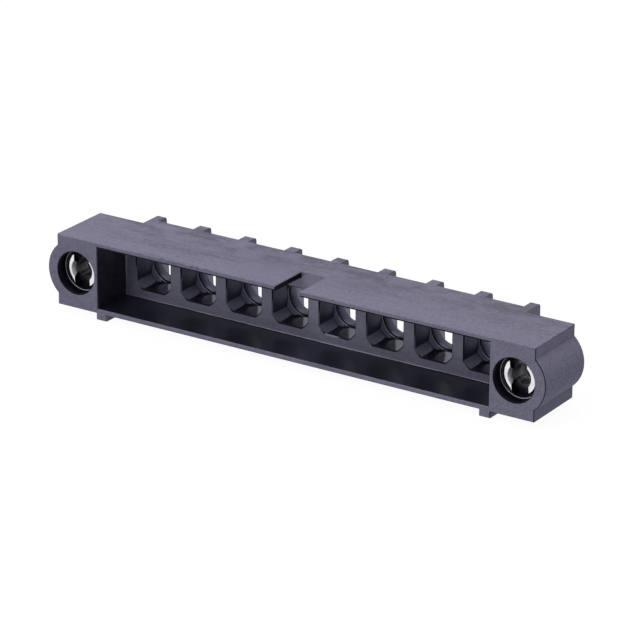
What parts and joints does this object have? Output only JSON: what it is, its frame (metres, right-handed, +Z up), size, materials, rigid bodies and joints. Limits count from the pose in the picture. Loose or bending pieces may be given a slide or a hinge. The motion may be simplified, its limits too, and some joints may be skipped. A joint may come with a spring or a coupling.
{
  "type": "rectangular board connector",
  "caption": "Rectangular single-row board connector: shrouded plastic housing with open contact cavities, a polarising slot and a threaded metal insert at each end.",
  "frame": {"origin": "centre of the bounding box at its bottom, on the board's top face under the standoff feet", "axes": "+X along the row, to the viewer's right when facing the mating side; +Y from the mating face to the rear; +Z up from the board"},
  "size_m": [0.042, 0.0074, 0.006],
  "materials": {
    "housing_plastic": "satin moulded, dark blue-grey",
    "insert_metal": "bright turned"
  },
  "bodies": {
    "root": {"housing": "housing_plastic", "threaded_insert_left": "insert_metal", "threaded_insert_right": "insert_metal"}
  },
  "joints": []
}
